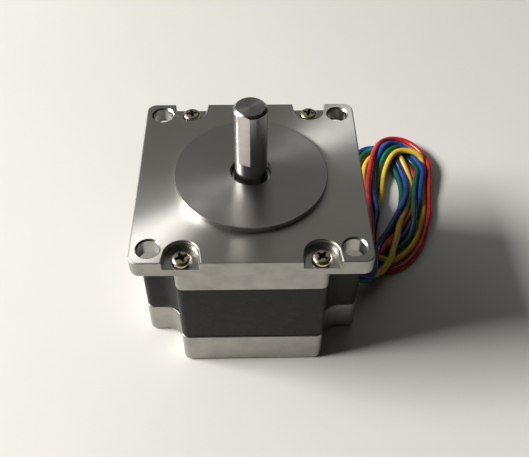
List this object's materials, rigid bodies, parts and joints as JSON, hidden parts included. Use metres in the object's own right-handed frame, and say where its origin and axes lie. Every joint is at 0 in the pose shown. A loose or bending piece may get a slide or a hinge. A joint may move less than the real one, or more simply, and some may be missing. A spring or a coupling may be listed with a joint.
{
  "type": "stepper motor",
  "caption": "Square-flanged hybrid stepper motor with a plain round output shaft that has a flat, corner reliefs behind the mounting holes, and a hank of coloured leads.",
  "frame": {"origin": "middle of the rear face, which the motor stands on, on the shaft's axis", "axes": "+Z along the shaft towards its free end; +X towards the side that the leads come out of; the flat on the shaft faces between -X and -Y at rest"},
  "size_m": [0.0874, 0.0855, 0.0626],
  "materials": {
    "end_cap_aluminium": "satin, machined flange face with cast sides",
    "stator_lacquer": "satin black lacquer on stacked laminations",
    "zinc_screw": "yellow zinc plated, fairly bright",
    "shaft_steel": "centreless ground, with a milled flat",
    "bearing_steel": "ground and polished",
    "ball_steel": "mirror polished",
    "spring_steel": "rolled",
    "brass": "pressed",
    "core_steel": "stamped laminations",
    "magnet": "sintered, dark grey",
    "copper_winding": "enamelled copper wire",
    "white_nylon": "moulded",
    "winding_board": "coated",
    "black_rubber": "matt",
    "red_insulation": "glossy wire insulation",
    "blue_insulation": "glossy wire insulation",
    "green_insulation": "glossy wire insulation",
    "yellow_insulation": "glossy wire insulation"
  },
  "bodies": {
    "housing": {"front_end_cap": "end_cap_aluminium", "rear_end_cap": "end_cap_aluminium", "stator_core": "stator_lacquer", "tie_screw_1": "zinc_screw", "tie_screw_2": "zinc_screw", "tie_screw_3": "zinc_screw", "tie_screw_4": "zinc_screw", "front_bearing_outer_ring": "bearing_steel", "front_bearing_upper_shield": "spring_steel", "front_bearing_lower_shield": "spring_steel", "front_insulator": "white_nylon", "rear_bearing_outer_ring": "bearing_steel", "rear_bearing_upper_shield": "spring_steel", "rear_bearing_lower_shield": "spring_steel", "rear_insulator": "white_nylon", "wave_spring_washer": "spring_steel", "coil_1": "copper_winding", "coil_2": "copper_winding", "coil_3": "copper_winding", "coil_4": "copper_winding", "coil_5": "copper_winding", "coil_6": "copper_winding", "coil_7": "copper_winding", "coil_8": "copper_winding", "winding_board": "winding_board", "lead_grommet": "black_rubber", "lead_red": "red_insulation", "lead_blue": "blue_insulation", "lead_green": "green_insulation", "lead_yellow": "yellow_insulation", "lead_hank": "blue_insulation"},
    "rotor": {"shaft": "shaft_steel", "rotor_core_front": "core_steel", "rotor_core_rear": "core_steel", "rotor_magnet": "magnet", "front_spacer": "brass", "rear_spacer": "brass", "front_bearing_inner_ring": "bearing_steel", "rear_bearing_inner_ring": "bearing_steel"},
    "front_cage": {"front_bearing_cage": "brass", "front_ball_1": "ball_steel", "front_ball_2": "ball_steel", "front_ball_3": "ball_steel", "front_ball_4": "ball_steel", "front_ball_5": "ball_steel", "front_ball_6": "ball_steel", "front_ball_7": "ball_steel"},
    "rear_cage": {"rear_bearing_cage": "brass", "rear_ball_1": "ball_steel", "rear_ball_2": "ball_steel", "rear_ball_3": "ball_steel", "rear_ball_4": "ball_steel", "rear_ball_5": "ball_steel", "rear_ball_6": "ball_steel", "rear_ball_7": "ball_steel"}
  },
  "joints": [
    {"name": "rotor_spin", "type": "hinge", "parent": "housing", "child": "rotor", "pos_m": [0, 0, 0.0206], "axis": [0, 0, 1], "continuous": true},
    {"name": "front_cage_spin", "type": "hinge", "parent": "housing", "child": "front_cage", "pos_m": [0, 0, 0.0376], "axis": [0, 0, 1], "continuous": true},
    {"name": "rear_cage_spin", "type": "hinge", "parent": "housing", "child": "rear_cage", "pos_m": [0, 0, 0.0059], "axis": [0, 0, 1], "continuous": true}
  ],
  "couplings": [
    {"joint": "front_cage_spin", "follows": "rotor_spin", "ratio": 0.3905},
    {"joint": "rear_cage_spin", "follows": "rotor_spin", "ratio": 0.3905}
  ]
}
